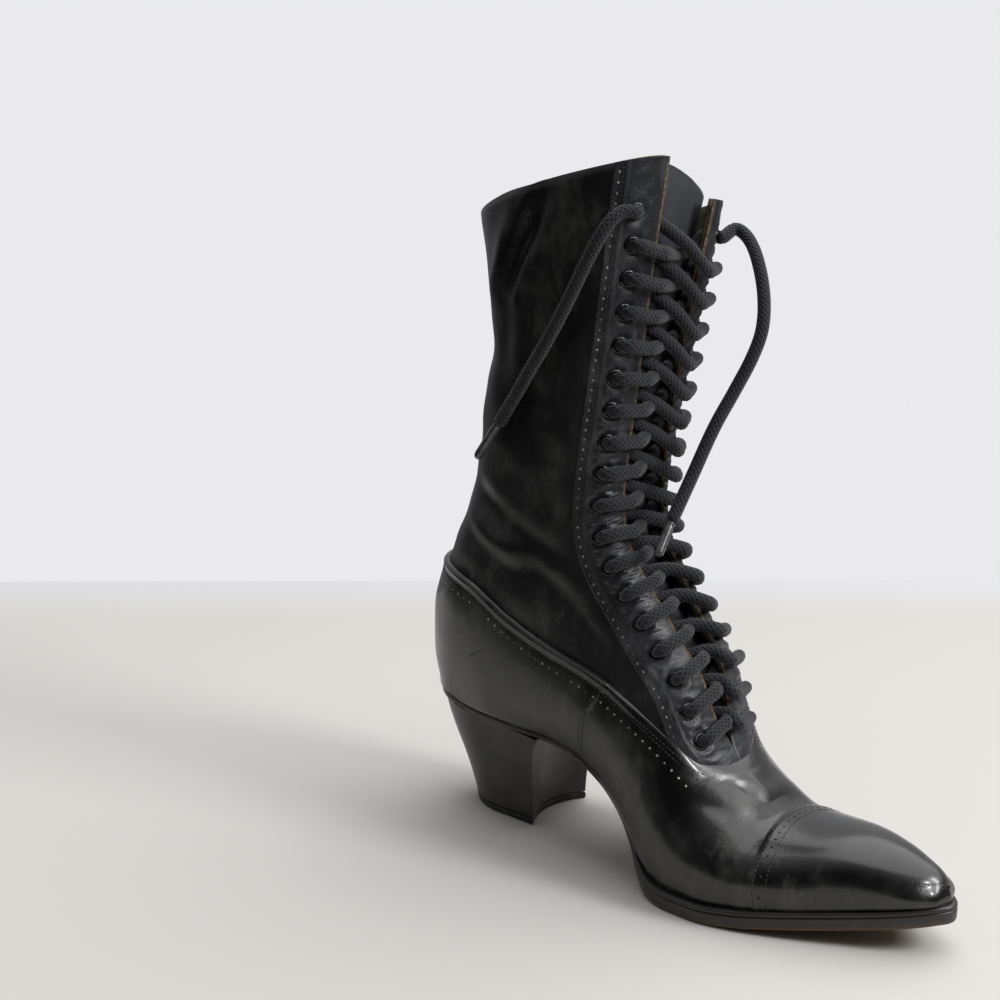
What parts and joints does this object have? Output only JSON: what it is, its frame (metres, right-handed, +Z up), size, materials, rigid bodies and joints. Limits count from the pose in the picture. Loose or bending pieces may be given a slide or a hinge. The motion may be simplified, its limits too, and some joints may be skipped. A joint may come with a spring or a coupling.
{
  "type": "heeled lace-up boot",
  "caption": "Left black leather lace-up boot with pointed toe cap, golosh, tall slack shaft, front lacing and a low curved stacked heel, standing empty on its sole.",
  "frame": {"origin": "middle of the boot's box in plan, at the floor plane under the sole and heel, free lace ends left out", "axes": "+X from heel to toe, +Y to the wearer's left which is the lateral side, +Z up"},
  "size_m": [0.2465, 0.1012, 0.2793],
  "materials": {
    "upper_leather": "black grained leather, satin, worn",
    "overlay_leather": "black leather, polished, worn at the edges",
    "tongue_leather": "black leather, satin",
    "insole_leather": "tan lining leather, matt",
    "sole_leather": "black-brown sole edge, worn brown below",
    "heel_leather": "black stacked heel, semi-gloss",
    "lift_rubber": "black top-piece rubber, matt",
    "eyelet_enamel": "black enamel",
    "cord": "black braided cord",
    "aglet": "clear grey plastic"
  },
  "bodies": {
    "root": {"upper": "upper_leather", "vamp": "overlay_leather", "counter": "overlay_leather", "toe_cap": "overlay_leather", "eyestay_medial": "overlay_leather", "eyestay_lateral": "overlay_leather", "tongue": "tongue_leather", "insole": "insole_leather", "outsole": "sole_leather", "heel": "heel_leather", "heel_lift": "lift_rubber", "lace": "cord", "lace_end_medial": "cord", "lace_end_lateral": "cord", "aglet_medial": "aglet", "aglet_lateral": "aglet", "eyelet_medial_01": "eyelet_enamel", "eyelet_medial_02": "eyelet_enamel", "eyelet_medial_03": "eyelet_enamel", "eyelet_medial_04": "eyelet_enamel", "eyelet_medial_05": "eyelet_enamel", "eyelet_medial_06": "eyelet_enamel", "eyelet_medial_07": "eyelet_enamel", "eyelet_medial_08": "eyelet_enamel", "eyelet_medial_09": "eyelet_enamel", "eyelet_medial_10": "eyelet_enamel", "eyelet_medial_11": "eyelet_enamel", "eyelet_medial_12": "eyelet_enamel", "eyelet_medial_13": "eyelet_enamel", "eyelet_medial_14": "eyelet_enamel", "eyelet_medial_15": "eyelet_enamel", "eyelet_medial_16": "eyelet_enamel", "eyelet_medial_17": "eyelet_enamel", "eyelet_medial_18": "eyelet_enamel", "eyelet_lateral_01": "eyelet_enamel", "eyelet_lateral_02": "eyelet_enamel", "eyelet_lateral_03": "eyelet_enamel", "eyelet_lateral_04": "eyelet_enamel", "eyelet_lateral_05": "eyelet_enamel", "eyelet_lateral_06": "eyelet_enamel", "eyelet_lateral_07": "eyelet_enamel", "eyelet_lateral_08": "eyelet_enamel", "eyelet_lateral_09": "eyelet_enamel", "eyelet_lateral_10": "eyelet_enamel", "eyelet_lateral_11": "eyelet_enamel", "eyelet_lateral_12": "eyelet_enamel", "eyelet_lateral_13": "eyelet_enamel", "eyelet_lateral_14": "eyelet_enamel", "eyelet_lateral_15": "eyelet_enamel", "eyelet_lateral_16": "eyelet_enamel", "eyelet_lateral_17": "eyelet_enamel", "eyelet_lateral_18": "eyelet_enamel"}
  },
  "joints": []
}
